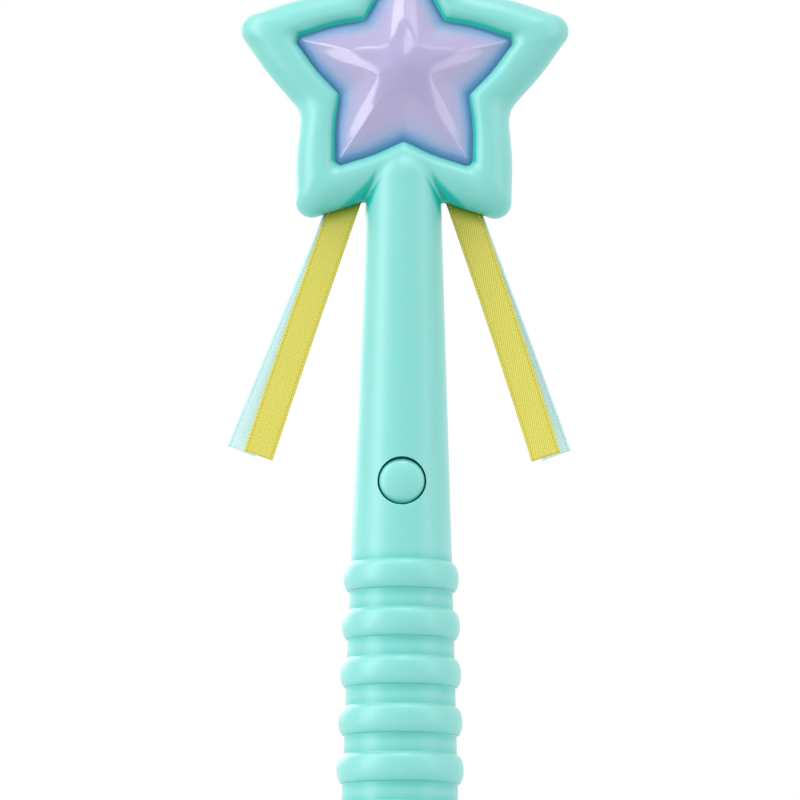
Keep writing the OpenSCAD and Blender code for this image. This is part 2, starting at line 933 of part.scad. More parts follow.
// Battery door: a piece of the ringed grip with a tongue above and a screw boss below
module battery_door() {
  half = opening_x - door_gap;
  low = door_bottom + door_gap;
  high = door_top - door_gap;
  boss_end = tower_top + 0.3;
  riser = 2.4;
  color(mint)
    difference() {
      union() {
        difference() {
          intersection() {
            mirror([0, 1, 0])
              handle_body();
            translate([-half, 4, low])
              cube([2 * half, 2 * butt_r, high - low]);
          }
          handle_bore(0.15);
        }
        intersection() {
          union() {
            y_rod(tower_r + 0.6, 0, door_screw_z, boss_end, handle_r(door_screw_z));
            translate([-tongue_x, tongue_y, high - riser])
              cube([2 * tongue_x, 8, riser - 0.2]);
          }
          handle_bore(wall / 2);
        }
        translate([-tongue_x, tongue_y, high - riser])
          cube([2 * tongue_x, 1.2, riser + 4.2]);
      }
      y_rod(door_head_r + 0.4, 0, door_screw_z, door_head_seat, 2 * butt_r);
      y_rod(door_screw_r + 0.3, 0, door_screw_z, boss_end - 1, door_head_seat + 1);
    }
}

// Captive screw of the battery door
module door_screw() {
  color(steel)
    screw(0, door_screw_z, door_head_seat + seat_gap, door_screw_r, 5.4, door_head_r, door_head_h);
}

// Ribbon from its tail above the peg to its free end; it drifts in depth and bends as it hangs
function ribbon_point(side, lean, bend, layer, drift, s) =
  let (
    along = s / (peg_inside + ribbon_length),
    hang = max(s - peg_inside, 0) / ribbon_length,
    a = lean - bend * along / 2
  )
    peg_place(side) + s * lean_way(side, a) + [0, layer + drift * hang * hang, 0];

module ribbon(side, lean, bend, layer, drift) {
  total = peg_inside + ribbon_length;
  path = [
    for (k = [0:ribbon_steps])
      ribbon_point(side, lean, bend, layer, drift, -ribbon_tail + (total + ribbon_tail) * k / ribbon_steps)
  ];
  w = ribbon_w / 2;
  t = ribbon_t / 2;
  difference() {
    swept(path, [[w, t], [w, -t], [-w, -t], [-w, t]], [0, 1, 0]);
    y_rod(peg_r + 0.3, peg_place(side)[0], peg_place(side)[2], -2, 2);
  }
}

module ribbon_yellow_left() {
  color(lemon)
    ribbon(-1, yellow_lean, 1.5, -ribbon_layer, -ribbon_drift);
}

module ribbon_blue_left() {
  color(ice)
    ribbon(-1, yellow_lean + blue_splay, 0, ribbon_layer, 0.75 * ribbon_drift);
}

module ribbon_yellow_right() {
  color(lemon)
    ribbon(1, yellow_lean + 0.5, 2.5, -ribbon_layer, -1.5 * ribbon_drift);
}

module ribbon_blue_right() {
  color(ice)
    ribbon(1, yellow_lean + 0.8 * blue_splay, 1.5, ribbon_layer, ribbon_drift);
}

front_shell();
rear_shell();
housing_screws();
star_lens();
reflector_tray();
led_board();
star_leds();
led_wires();
button_cap();
button_dome();
control_board();
board_components();
board_screws();
battery_cradle();
battery_cell_left();
battery_cell_right();
battery_bridge();
battery_negative_contact();
battery_positive_contact();
battery_wires();
battery_door();
door_screw();
ribbon_yellow_left();
ribbon_blue_left();
ribbon_yellow_right();
ribbon_blue_right();
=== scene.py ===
# Toy magic wand: a puffy mint star with a faceted lens, a tapered handle with a ringed grip, and satin ribbons.
# The pieces are built in mm, in the order the toy is put together, and set in the scene in metres.
import math

import bmesh
import bpy
import numpy as np
from mathutils import Matrix, Vector


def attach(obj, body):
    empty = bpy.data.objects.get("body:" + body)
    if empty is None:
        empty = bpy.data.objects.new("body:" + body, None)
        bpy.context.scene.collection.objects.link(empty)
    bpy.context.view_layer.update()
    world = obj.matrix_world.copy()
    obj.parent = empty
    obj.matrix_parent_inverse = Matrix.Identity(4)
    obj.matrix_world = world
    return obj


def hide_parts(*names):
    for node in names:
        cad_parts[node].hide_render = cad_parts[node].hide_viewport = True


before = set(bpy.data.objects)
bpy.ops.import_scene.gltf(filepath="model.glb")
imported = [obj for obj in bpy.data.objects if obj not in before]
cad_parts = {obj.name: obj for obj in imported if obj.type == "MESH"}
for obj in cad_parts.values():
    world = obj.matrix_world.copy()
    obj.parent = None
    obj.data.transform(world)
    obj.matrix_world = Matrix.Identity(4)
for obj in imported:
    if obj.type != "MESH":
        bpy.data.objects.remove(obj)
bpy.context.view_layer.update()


# Moulded body: star frame and handle are one full, rounded form of mint ABS, moulded as a front and a rear shell
# that meet on the plane Y = 0. The form is one smooth surface: the star swells from its outline to a crest and
# turns in to the lens, and melts into the domed end of the handle.
STAR_Z = 233.0
CREST_SHARE, CREST_Y, LIP_DROP = 0.7, 8.5, 6.1
RINGS, RING_PITCH, RING_HALF, RING_RISE = 7, 13.6, 4.05, 1.8
TAPER_Z, TAPER_R = 95.2, 14.3
DOME_Z, DOME_R = 202.5, 10.6
BUTT_ROUND = 2.4
STAR_FOOT_Z = 180  # below the star, where only the handle is left


def star_inside(x, z, u):
    """How far a point lies inside the rounded star a share u of the way from the frame's edge to the lens."""
    tip, corner = 53.2 - 18.8 * u, 31.7 - 11.8 * u
    tip_round, corner_round = 4.8 - 2.8 * u, 8.6 - 7.5 * u
    fifth = 2 * np.pi / 5
    turn = np.abs((np.arctan2(x, z) + fifth / 2) % fifth - fifth / 2)
    reach = np.hypot(x, z)
    along_arm, across = reach * np.cos(turn), reach * np.sin(turn)
    half = np.arctan2(corner * math.sin(fifth / 2), tip - corner * math.cos(fifth / 2))
    along_edge = (tip - along_arm) * np.cos(half) + across * np.sin(half)
    depth = (tip - along_arm) * np.sin(half) - across * np.cos(half)
    start = tip_round / np.tan(half)
    end = np.hypot(corner * math.sin(fifth / 2), tip - corner * math.cos(fifth / 2)) - corner_round / np.tan(
        half + fifth / 2
    )
    share = np.clip((along_edge - start) / (end - start), 0, 1)
    bowed = depth + 0.5 * 16 * (share * (1 - share)) ** 2
    tip_arc = tip_round - np.hypot(along_arm - tip + tip_round / np.sin(half), across)
    centre = corner + corner_round / np.sin(half + fifth / 2)
    corner_arc = (
        np.hypot(along_arm - centre * math.cos(fifth / 2), across - centre * math.sin(fifth / 2)) - corner_round
    )
    return np.where(along_edge < start, tip_arc, np.where(along_edge > end, corner_arc, bowed))


def frame_share(x, z):
    """Share of the way from the frame's outer edge to the lens at which a point lies."""
    low, high = np.full(x.shape, -0.8), np.full(x.shape, 1.1)
    for _ in range(20):
        middle = (low + high) / 2
        inside = star_inside(x, z, middle) > 0
        low, high = np.where(inside, middle, low), np.where(inside, high, middle)
    return (low + high) / 2


def star_outline(u, inset=0.0, steps=60):
    """Points (x, z) of the star outline at share u, anticlockwise from the upper tip, steps for each half arm."""
    angle = np.linspace(0, 2 * np.pi, 10 * steps, endpoint=False)
    low, high = np.full(angle.shape, 1.0), np.full(angle.shape, 60.0)
    for _ in range(40):
        middle = (low + high) / 2
        inside = star_inside(-middle * np.sin(angle), middle * np.cos(angle), u) > inset
        low, high = np.where(inside, middle, low), np.where(inside, high, middle)
    return np.stack([-low * np.sin(angle), low * np.cos(angle)], 1)


def handle_radius(z):
    """Radius of the handle without its rings."""
    return np.where(z < TAPER_Z, 17.2 - 0.030462 * z, TAPER_R - 0.034483 * (z - TAPER_Z))


def soft_join(a, b, blend):
    """Union of two distance fields with a fillet."""
    h = np.clip(0.5 + 0.5 * (b - a) / blend, 0, 1)
    return b * (1 - h) + a * h - blend * h * (1 - h)


def handle_field(p):
    """Distance from the handle: taper, rings, rounded butt and domed upper end."""
    radius, z = np.hypot(p[:, 0], p[:, 1]), p[:, 2]
    plain = radius - handle_radius(z)
    side = plain
    for ring in range(RINGS):
        rise = (z - (ring + 0.5) * RING_PITCH) / RING_HALF
        side = soft_join(side, (np.hypot(np.maximum(plain, 0) / RING_RISE, rise) - 1) * RING_RISE, 0.2)
    a, b = side + BUTT_ROUND, BUTT_ROUND - z
    butt = np.minimum(np.maximum(a, b), 0) + np.hypot(np.maximum(a, 0), np.maximum(b, 0)) - BUTT_ROUND
    return np.where(z > DOME_Z, np.hypot(radius, z - DOME_Z) - DOME_R, butt)


def star_field(p):
    """Distance from the star: half-round rim, a lip that turns in to the lens, and a sunk panel behind."""
    u = frame_share(p[:, 0], p[:, 2] - STAR_Z)
    y = np.abs(p[:, 1])
    rim = np.hypot((CREST_SHARE - u) / CREST_SHARE, y / CREST_Y) * CREST_Y - CREST_Y
    fall = np.clip((u - CREST_SHARE) / 0.36, 0, 0.97)
    lip = y - CREST_Y + LIP_DROP * (1 - np.sqrt(1 - fall**2))
    panel = y - CREST_Y + 1.2 * (1 - np.cos(np.pi * np.clip((u - CREST_SHARE) / 0.3, 0, 1)))
    return np.where(u < CREST_SHARE, rim, np.where(p[:, 1] < 0, lip, panel))


def body_field(p):
    """Distance from the whole body, with a small fillet where the handle enters the star."""
    field = handle_field(p)
    head = p[:, 2] > STAR_FOOT_Z
    field[head] = soft_join(star_field(p[head]), field[head], 1.1)
    return field


def mesh_piece(name, points, faces):
    """New object from points in mm and faces."""
    mesh = bpy.data.meshes.new(name)
    mesh.from_pydata([tuple(v) for v in points], [], [tuple(f) for f in faces])
    piece = bpy.data.objects.new(name, mesh)
    bpy.context.scene.collection.objects.link(piece)
    return piece


def stacked(name, rings, close=True):
    """Closed skin over rings of equal count, each an array of points in mm; both ends are capped."""
    count = len(rings[0])
    faces = []
    for row in range(len(rings) - 1):
        for i in range(count):
            n = (i + 1) % count
            faces.append((row * count + i, row * count + n, (row + 1) * count + n, (row + 1) * count + i))
    if close:
        last = (len(rings) - 1) * count
        faces.append(tuple(range(count))[::-1])
        faces.append(tuple(range(last, last + count)))
    piece = mesh_piece(name, np.concatenate(rings), faces)
    tidy = bmesh.new()
    tidy.from_mesh(piece.data)
    bmesh.ops.remove_doubles(tidy, verts=tidy.verts, dist=1e-4)
    bmesh.ops.recalc_face_normals(tidy, faces=tidy.faces)
    tidy.to_mesh(piece.data)
    tidy.free()
    return piece


def turned(name, profile, steps=96):
    """Closed solid turned about Z from a profile of (radius, height) whose ends may lie on the axis."""
    angle = np.linspace(0, 2 * np.pi, steps, endpoint=False)
    rings = [
        np.stack([r * np.cos(angle), r * np.sin(angle), np.full(steps, z)], 1) for r, z in profile
    ]
    return stacked(name, rings)


def star_prism(name, outline, front, back):
    """Star plate between two depths, front being the lesser Y."""
    return stacked(
        name,
        [np.stack([outline[:, 0], np.full(len(outline), y), outline[:, 1] + STAR_Z], 1) for y in (front, back)],
    )


def block(name, low, high):
    """Plain cutter box between two corners."""
    x, y, z = zip(low, high)
    foot = [(x[0], y[0]), (x[1], y[0]), (x[1], y[1]), (x[0], y[1])]
    return stacked(name, [np.array([(*corner, level) for corner in foot]) for level in z])


def y_rod(name, radius, x, z, front, back, steps=64):
    """Round rod along Y."""
    angle = np.linspace(0, 2 * np.pi, steps, endpoint=False)
    rings = [
        np.stack([x + radius * np.cos(angle), np.full(steps, y), z + radius * np.sin(angle)], 1)
        for y in (front, back)
    ]
    return stacked(name, rings)


def bake(piece):
    """Works the piece's modifiers into its mesh."""
    graph = bpy.context.evaluated_depsgraph_get()
    made = bpy.data.meshes.new_from_object(piece.evaluated_get(graph))
    piece.modifiers.clear()
    piece.data = made


def carve(piece, tools, operation="DIFFERENCE"):
    """Boolean with each tool in turn; the tools are used up."""
    for tool in tools:
        change = piece.modifiers.new("carve", "BOOLEAN")
        change.solver = "MANIFOLD"
        change.operation = operation
        change.object = tool
        bake(piece)
        bpy.data.objects.remove(tool)
    return piece


def copy_of(piece, name):
    twin = bpy.data.objects.new(name, piece.data.copy())
    bpy.context.scene.collection.objects.link(twin)
    return twin


def in_metres(piece, sharp=35):
    """Final scale, smooth faces and crisp edges where the form turns sharply."""
    piece.data.transform(Matrix.Scale(0.001, 4))
    piece.data.shade_smooth()
    piece.data.set_sharp_from_angle(angle=math.radians(sharp))
    return piece


def rough_star():
    """Star near its final form."""
    levels = [(1.0, 6.4), (0.7, 8.4), (0.45, 7.9), (0.2, 6.0), (0.05, 3.1)]
    half = [(star_outline(u, steps=16), depth) for u, depth in levels]
    rows = [(o, -d) for o, d in half] + [(star_outline(0.0, steps=16), 0.0)] + [(o, d) for o, d in half[::-1]]
    return stacked("rough_star", [np.stack([o[:, 0], np.full(len(o), y), o[:, 1] + STAR_Z], 1) for o, y in rows])


def bore(grow):
    """Room inside the handle: a plain taper under a dome."""
    radius = DOME_R - 2 + grow
    dome = [(radius * math.cos(a), DOME_Z + radius * math.sin(a)) for a in np.linspace(0, math.pi / 2, 16)]
    return turned("bore", [(0, 3), (15.11 + grow, 3), (TAPER_R - 2 + grow, TAPER_Z)] + dome)


NECK_Z = 92.9  # seam of grip and neck, just above the top ring


def turned_grip():
    """The ringed grip, with rows close together where a ring meets the taper, and a plug that enters the neck."""
    close = np.array([-1.4, -1.0, -0.7, -0.45, -0.3, -0.2, -0.12, -0.05, 0, 0.05, 0.12, 0.2, 0.3, 0.45, 0.7, 1.0])
    rows = [BUTT_ROUND * (1 - np.cos(np.linspace(0.03, math.pi / 2, 14))), np.linspace(2.5, NECK_Z - 0.02, 150)]
    for ring in range(RINGS):
        crest = (ring + 0.5) * RING_PITCH
        rows += [crest - RING_HALF - close, crest + RING_HALF + close]
    z = np.unique(np.concatenate(rows).round(3))
    z = z[z < NECK_Z]
    low, high = np.zeros(len(z)), np.full(len(z), 25.0)
    for _ in range(40):
        middle = (low + high) / 2
        within = handle_field(np.stack([middle, 0 * z, z], 1)) < 0
        low, high = np.where(within, middle, low), np.where(within, high, middle)
    neck = float(low[-1]) - 0.03
    plug = [(neck, NECK_Z + 0.02), (neck - 1, NECK_Z + 0.6), (neck - 1, NECK_Z + 3), (0, NECK_Z + 3)]
    return turned("grip", [(0, 0), (14.8, 0), *zip(low, z), *plug], 144)


def rough_neck():
    """Handle above the grip near its final form."""
    dome = [(DOME_R * math.cos(a), DOME_Z + DOME_R * math.sin(a)) for a in np.linspace(0, math.pi / 2, 14)]
    return turned("rough_neck", [(0, 86), (14.6, 86), (TAPER_R, TAPER_Z), *dome])


def settle(piece, field, rounds):
    """Evens out the mesh and moves its vertices above the top ring onto the zero of a field."""
    mesh = piece.data
    points = np.empty(len(mesh.vertices) * 3)
    mesh.vertices.foreach_get("co", points)
    points = points.reshape(-1, 3)
    edges = np.empty(len(mesh.edges) * 2, np.int64)
    mesh.edges.foreach_get("vertices", edges)
    edges = edges.reshape(-1, 2)
    share = np.bincount(edges.ravel(), minlength=len(points))[:, None]
    for step in range(rounds):
        if step < rounds - 2:
            total = np.zeros_like(points)
            np.add.at(total, edges[:, 0], points[edges[:, 1]])
            np.add.at(total, edges[:, 1], points[edges[:, 0]])
            points = 0.5 * points + 0.5 * total / share
        base = field(points)
        slope = np.stack([(field(points + 0.02 * axis) - base) / 0.02 for axis in np.eye(3)], 1)
        move = np.where(points[:, 2] > 88, base / np.maximum((slope**2).sum(1), 0.05), 0)
        points = points - np.clip(move, -0.8, 0.8)[:, None] * slope
    mesh.vertices.foreach_set("co", points.ravel())
    mesh.update()


body = carve(rough_neck(), [rough_star()], "UNION")
remesh = body.modifiers.new("even", "REMESH")
remesh.mode = "VOXEL"
remesh.voxel_size = 0.5
bake(body)
settle(body, body_field, 6)
carve(body, [block("below_neck", (-30, -30, 60), (30, 30, NECK_Z))])
carve(body, [turned_grip()], "UNION")

FAR = 400
BUTTON_Z = 114.7
SLOT_LEAN, SLOT_RUN = math.radians(19), 8
MOUTH = {side: np.array([side * 17.9, 0, 192.8]) for side in (-1, 1)}
PEG = {
    side: MOUTH[side] - SLOT_RUN * np.array([side * math.sin(SLOT_LEAN), 0, -math.cos(SLOT_LEAN)]) for side in MOUTH
}


def ribbon_slots():
    """Cutters for the two slots from the ribbons' pegs to their mouths in the star's lower edge."""
    slots = []
    for side in MOUTH:
        slot = block("slot", (-5.5, -0.7, -18), (5.5, 0.7, 4))
        slot.data.transform(Matrix.Translation(PEG[side]) @ Matrix.Rotation(-side * SLOT_LEAN, 4, "Y"))
        slots.append(slot)
    return slots


def star_room():
    """Hollow of the star, where the lamp set sits."""
    return star_prism("star_room", star_outline(0.2), -4.6, 4.1)


front_shell = carve(
    copy_of(body, "front_shell_form"),
    [
        block("rear_half", (-FAR, -0.04, -FAR), (FAR, FAR, FAR)),
        carve(bore(0), [y_rod("collar", 8.05, 0, BUTTON_Z, -20, -8.33)]),
        star_room(),
        star_prism("lens_opening", star_outline(1.02), -14, -3),
        y_rod("button_hole", 6.9, 0, BUTTON_Z, -20, -5, 96),
        *ribbon_slots(),
    ],
)
in_metres(front_shell)

SCREWS = [(0, 273.0), (38.04, 245.36), (-38.04, 245.36), (0, 176.0), (0, 93.0), (0, 7.6)]
room = carve(bore(0), [star_room()], "UNION")
carve(room, [y_rod("sleeve", 3.95, x, z, -3, 30) for x, z in SCREWS])
rails = [
    carve(block("rail", (x - 1.2, 1.5, 12.6), (x + 1.2, 13.5, 82.6)), [bore(-1.6)]) for x in (-12.0, 12.0)
]
carve(room, rails)
door_opening = carve(block("door_opening", (-11.7, 4.5, 13.6), (11.7, 34, 81.6)), [bore(-0.05)])
rear_shell = carve(
    copy_of(body, "rear_shell_form"),
    [
        block("front_half", (-FAR, -FAR, -FAR), (FAR, 0.04, FAR)),
        room,
        door_opening,
        *[y_rod("screw_hole", 1.35, x, z, -1, 4, 32) for x, z in SCREWS],
        *[y_rod("counterbore", 2.85, x, z, 3, 34) for x, z in SCREWS],
        *ribbon_slots(),
    ],
)
in_metres(rear_shell)


def linear(r, g, b):
    """sRGB 0-255 to the linear values that shaders take."""
    return tuple(((c / 255 + 0.055) / 1.055) ** 2.4 if c > 10 else c / 255 / 12.92 for c in (r, g, b)) + (1.0,)


def new_material(name):
    """New material, its node tree and its Principled shader."""
    material = bpy.data.materials.new(name)
    material.use_nodes = True
    return material, material.node_tree, material.node_tree.nodes["Principled BSDF"]


def wire(tree, node, inputs):
    """Gives each named input of a node a value, or joins it to the socket given for it."""
    for key, value in inputs.items():
        if isinstance(value, bpy.types.NodeSocket):
            tree.links.new(value, node.inputs[key])
        else:
            node.inputs[key].default_value = value


def put(tree, kind, inputs=None, **traits):
    """Adds a node with its traits and inputs."""
    node = tree.nodes.new(kind)
    for trait, value in traits.items():
        setattr(node, trait, value)
    wire(tree, node, inputs or {})
    return node


def calc(tree, operation, *values):
    """Result of a Math node."""
    return put(tree, "ShaderNodeMath", dict(enumerate(values)), operation=operation).outputs[0]


def ranged(tree, value, source, target, curve="LINEAR"):
    """A value brought from one range to another."""
    ends = {"From Min": source[0], "From Max": source[1], "To Min": target[0], "To Max": target[1]}
    return put(tree, "ShaderNodeMapRange", {"Value": value, **ends}, interpolation_type=curve).outputs["Result"]


def noise(tree, place, scale, detail=2.0):
    """Value of a Noise texture."""
    return put(tree, "ShaderNodeTexNoise", {"Vector": place, "Scale": scale, "Detail": detail}).outputs["Fac"]


def mixed(tree, share, first, second):
    """Mix of two colours."""
    return put(tree, "ShaderNodeMix", {"Factor": share, "A": first, "B": second}, data_type="RGBA").outputs["Result"]


def raised(tree, height, strength, distance):
    """Normal of a Bump node."""
    relief = {"Height": height, "Strength": strength, "Distance": distance}
    return put(tree, "ShaderNodeBump", relief).outputs["Normal"]


def new_group(name, kind, inputs, outputs):
    """New node group with named sockets, the sockets of its input end, and its output end."""
    group = bpy.data.node_groups.new(name, kind)
    for end, sockets in (("INPUT", inputs), ("OUTPUT", outputs)):
        for label, content in sockets.items():
            group.interface.new_socket(label, in_out=end, socket_type="NodeSocket" + content)
    return group, group.nodes.new("NodeGroupInput").outputs, group.nodes.new("NodeGroupOutput")


def mould_grain_group():
    """Fine spark-eroded grain and slow colour drift of a moulded plastic, on Object coordinates."""
    group, given, out = new_group(
        "mould_grain", "ShaderNodeTree",
        {"Colour": "Color", "Drift": "Float", "Grain size": "Float", "Roughness": "Float"},
        {"Colour": "Color", "Roughness": "Float", "Height": "Float"},
    )
    place = put(group, "ShaderNodeTexCoord").outputs["Object"]
    slow = noise(group, place, 60.0, 3.0)
    swing = calc(group, "MULTIPLY_ADD", slow, given["Drift"], 0.985)
    tint = put(group, "ShaderNodeVectorMath", {0: given["Colour"], "Scale": swing}, operation="SCALE")
    wire(group, out, {
        "Colour": tint.outputs["Vector"],
        "Roughness": calc(group, "MULTIPLY_ADD", slow, 0.08, calc(group, "SUBTRACT", given["Roughness"], 0.04)),
        "Height": noise(group, place, calc(group, "DIVIDE", 1000.0, given["Grain size"])),
    })
    return group


mould_grain = mould_grain_group()


def moulded_plastic(name, colour, roughness, grain_size=0.25, bump=0.06, depth=0.0):
    """Moulded plastic with the shared grain; depth is how far light soaks into it, from 0 to 1."""
    material, tree, shader = new_material(name)
    finish = {"Colour": colour, "Drift": 0.03, "Grain size": grain_size, "Roughness": roughness}
    skin = put(tree, "ShaderNodeGroup", node_tree=mould_grain)
    wire(tree, skin, finish)
    wire(tree, shader, {
        "Base Color": skin.outputs["Colour"],
        "Roughness": skin.outputs["Roughness"],
        "Normal": raised(tree, skin.outputs["Height"], bump, 0.0001),
        "Subsurface Weight": depth,
        "Subsurface Radius": colour[:3],
        "Subsurface Scale": 0.004,
    })
    return material


mint_plastic = moulded_plastic("mint_moulding", linear(122, 205, 199), 0.44, depth=0.4)
tree = mint_plastic.node_tree
shader = tree.nodes["Principled BSDF"]
# Painted shade: this attribute mixes the mint towards a deep teal and takes off its coat in folds, under rings and
# ledges, and on cut walls.
crease = put(tree, "ShaderNodeAttribute", attribute_name="crease").outputs["Fac"]
plain_mint = shader.inputs["Base Color"].links[0].from_socket
wire(tree, shader, {
    "Base Color": mixed(tree, crease, plain_mint, linear(8, 186, 172)),
    "Coat Weight": ranged(tree, crease, (0, 1), (1, 0)),
    "Coat Roughness": 0.4,
})


def paint_crease_shade(piece):
    """Stores painted shade for each point: how far the moulding closes in round it, more where it faces down, and a
    fixed share on cut walls. There the mint is painted deep teal as shade.
    """
    points = np.empty(len(piece.data.vertices) * 3)
    piece.data.vertices.foreach_get("co", points)
    points = points.reshape(-1, 3) * 1000
    base = body_field(points)
    slope = np.stack([(body_field(points + 0.02 * axis) - base) / 0.02 for axis in np.eye(3)], 1)
    length = np.maximum(np.linalg.norm(slope, axis=1), 0.2)
    normal = slope / length[:, None]
    shade_amount = np.zeros(len(points))
    for reach in (1.5, 3.0, 6.0):
        shade_amount += np.clip(1 - body_field(points + reach * normal) / length / reach, 0, 1) / 3
    # Shade is painted more strongly on the star and where faces look down; faces that look down get extra painted
    # shade, and cut walls a fixed share.
    shade_gain = np.interp(points[:, 2], [179, 181, 210, 225], [1.5, 5.0, 5.0, 2.2]) * (1 - 0.8 * normal[:, 2])
    underside_shade = 0.45 * np.clip(-normal[:, 2], 0, 1) ** 2
    shade_amount = np.where(np.abs(base) < 0.1, np.clip(np.maximum(shade_amount * shade_gain - 0.15, 0) + underside_shade, 0, 1), 0.8)
    piece.data.attributes.new("crease", "FLOAT", "POINT").data.foreach_set("value", shade_amount)


for shell, node in ((front_shell, "front_shell"), (rear_shell, "rear_shell")):
    shell.data.materials.clear()
    shell.data.materials.append(mint_plastic)
    # Painted shade in the shell's folds, undersides and gaps.
    paint_crease_shade(shell)
    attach(shell, "wand")
    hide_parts(node)


# Star lens: one lilac-tinted acrylic moulding. Ten facets with fine prism lines rise from a rounded bead to a rounded
# top, and a flange behind the frame's lip holds it between the front shell and the tray. Acrylic lets light through,
# so the lens throws no shadow on the frame.
LENS_STEPS = 44
TOP_ROUND = 0.15
LENS_U = 1.03
PRISM_PITCH = 0.62


def lens_ring(outline, share, low, high):
    """Ring of the facets: the outline drawn in to a share of its size. The facets are fuller between the arms than on
    the ridges, and melt into a round top."""
    across = np.abs((np.arange(len(outline)) / LENS_STEPS + 1) % 2 - 1)
    crisp = min(max((share - TOP_ROUND) / 0.4, 0), 1)
    crisp = crisp * crisp * (3 - 2 * crisp)
    fall = share ** (1 + 0.42 * across * crisp)
    fall = np.sqrt((fall**2 + TOP_ROUND**2) / (1 + TOP_ROUND**2))
    depth = low + (high - low) * (1 - fall)
    circle = 25 * outline / np.linalg.norm(outline, axis=1)[:, None]
    place = share * (crisp * outline + (1 - crisp) * circle)
    return np.stack([place[:, 0], -depth, place[:, 1] + STAR_Z], 1)


def flat_ring(outline, depth):
    """Ring of the outline at one depth."""
    return np.stack([outline[:, 0], np.full(len(outline), -depth), outline[:, 1] + STAR_Z], 1)


flange = star_outline(0.86, 0, LENS_STEPS)
bead = [(0.0, 4.3), (0.12, 4.75), (0.35, 5.3), (0.7, 6.0), (1.15, 6.7)]
steep = np.concatenate([np.linspace(1, 0.1, 46), [0.07, 0.045, 0.025, 0.012, 0.0]])
outside = [flat_ring(flange, 3.35), flat_ring(flange, 4.3)]
outside += [flat_ring(star_outline(LENS_U, inset, LENS_STEPS), depth) for inset, depth in bead]
shoulder = star_outline(LENS_U, 1.6, LENS_STEPS)
outside += [lens_ring(shoulder, share, 7.3, 21.6) for share in steep]
inner_edge = star_outline(LENS_U, 2.1, LENS_STEPS)
inside = [lens_ring(inner_edge, share, 5.6, 19.6) for share in np.linspace(0, 1, 24)]
inside += [flat_ring(inner_edge, 3.35)]
star_lens = stacked("star_lens_form", outside + inside + outside[:1], close=False)
place = np.array([v.co for v in star_lens.data.vertices])
depth_inside = star_inside(place[:, 0], place[:, 2] - STAR_Z, np.full(len(place), LENS_U))
star_lens.data.attributes.new("from_edge", "FLOAT", "POINT").data.foreach_set("value", depth_inside)
in_metres(star_lens, 9)


def ramped(tree, value, interpolation, *stops):
    """Colour of a ramp with stops of (position, colour)."""
    node = put(tree, "ShaderNodeValToRGB", {"Fac": value})
    ramp = node.color_ramp
    ramp.interpolation = interpolation
    for element, stop in zip(ramp.elements, (stops[0], stops[-1])):
        element.position, element.color = stop
    for position, colour in stops[1:-1]:
        ramp.elements.new(position).color = colour
    return node.outputs["Color"]


lens_clear, tree, shader = new_material("lilac_lens")
from_edge = put(tree, "ShaderNodeAttribute", attribute_name="from_edge").outputs["Fac"]
# Lilac in the middle is the acrylic's own tint; the darker blue towards the rim is partly the deeper colour of the
# steep edge and partly painted shade under the frame's lip.
tint = ramped(
    tree, ranged(tree, from_edge, (0, 9), (0, 1)), "LINEAR",
    (0.0, linear(92, 126, 172)), (0.13, linear(98, 132, 176)), (0.26, linear(122, 144, 182)),
    (0.4, linear(140, 149, 184)), (0.72, linear(155, 148, 184)),
)
prism = calc(tree, "SINE", calc(tree, "MULTIPLY", from_edge, 2 * math.pi / PRISM_PITCH))
fleck = ranged(tree, prism, (-1, 1), (0.93, 1))
lined = put(tree, "ShaderNodeVectorMath", {0: tint, "Scale": fleck}, operation="SCALE").outputs["Vector"]
past_bead = ranged(tree, from_edge, (1.2, 2.8), (0, 1), "SMOOTHSTEP")
off_top = ranged(tree, from_edge, (9.5, 13), (1, 0.15), "SMOOTHSTEP")
wire(tree, shader, {
    "Base Color": lined,
    "Roughness": ranged(tree, from_edge, (1.2, 2.8), (0.5, 0.28), "SMOOTHSTEP"),
    "IOR": 1.5,
    "Coat Weight": calc(tree, "MINIMUM", past_bead, off_top),
    "Coat Roughness": 0.06,
    # Painted light: the lens glows faintly in its own tint, though no lamp lights it.
    "Emission Color": lined,
    "Emission Strength": 0.2,
    "Subsurface Weight": 0.6,
    "Subsurface Radius": (1.0, 1.0, 1.0),
    "Subsurface Scale": 0.006,
})
star_lens.data.materials.append(lens_clear)
star_lens.visible_shadow = star_lens.visible_diffuse = False
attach(star_lens, "wand")
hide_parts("star_lens")


# Button cap: a domed round cap moulded in the body's mint ABS, which slides in the shell's collar. Its flange stops
# it behind the collar and its plunger presses the silicone dome.
face_y, CAP_R, CAP_ROUND = -14.378, 6.4, 1.4
profile = [(0.0, face_y)]
turning = 1 - np.sin(np.linspace(0, math.pi / 2, 24))
for radius in np.concatenate([np.linspace(0.3, CAP_R - CAP_ROUND, 24), CAP_R - CAP_ROUND * turning]):
    edge = max(radius - CAP_R + CAP_ROUND, 0) / CAP_ROUND
    profile.append((radius, face_y + 12 - math.sqrt(144 - radius**2) + 0.9 * (1 - math.sqrt(max(1 - edge**2, 0)))))
profile += [(CAP_R, -8.05), (7.6, -8.03), (7.6, -7.03), (2.2, -7.03), (2.2, -6.4), (0.0, -6.38)]
button_cap = turned("button_cap_form", [(r, -y) for r, y in profile], 96)
button_cap.data.transform(Matrix.Translation((0, 0, BUTTON_Z)) @ Matrix.Rotation(math.radians(90), 4, "X"))
in_metres(button_cap, 32)
button_cap.data.materials.append(mint_plastic)
# Painted shade: the cap's rounded rim and side wall, down in the gap round it, take the mint's deep-teal painted
# shade.
reach = [max((math.hypot(v.co.x * 1000, v.co.z * 1000 - BUTTON_Z) - 6.0) / 0.4, 0) for v in button_cap.data.vertices]
button_cap.data.attributes.new("crease", "FLOAT", "POINT").data.foreach_set("value", np.clip(reach, 0, 1))
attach(button_cap, "button")
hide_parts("button_cap")


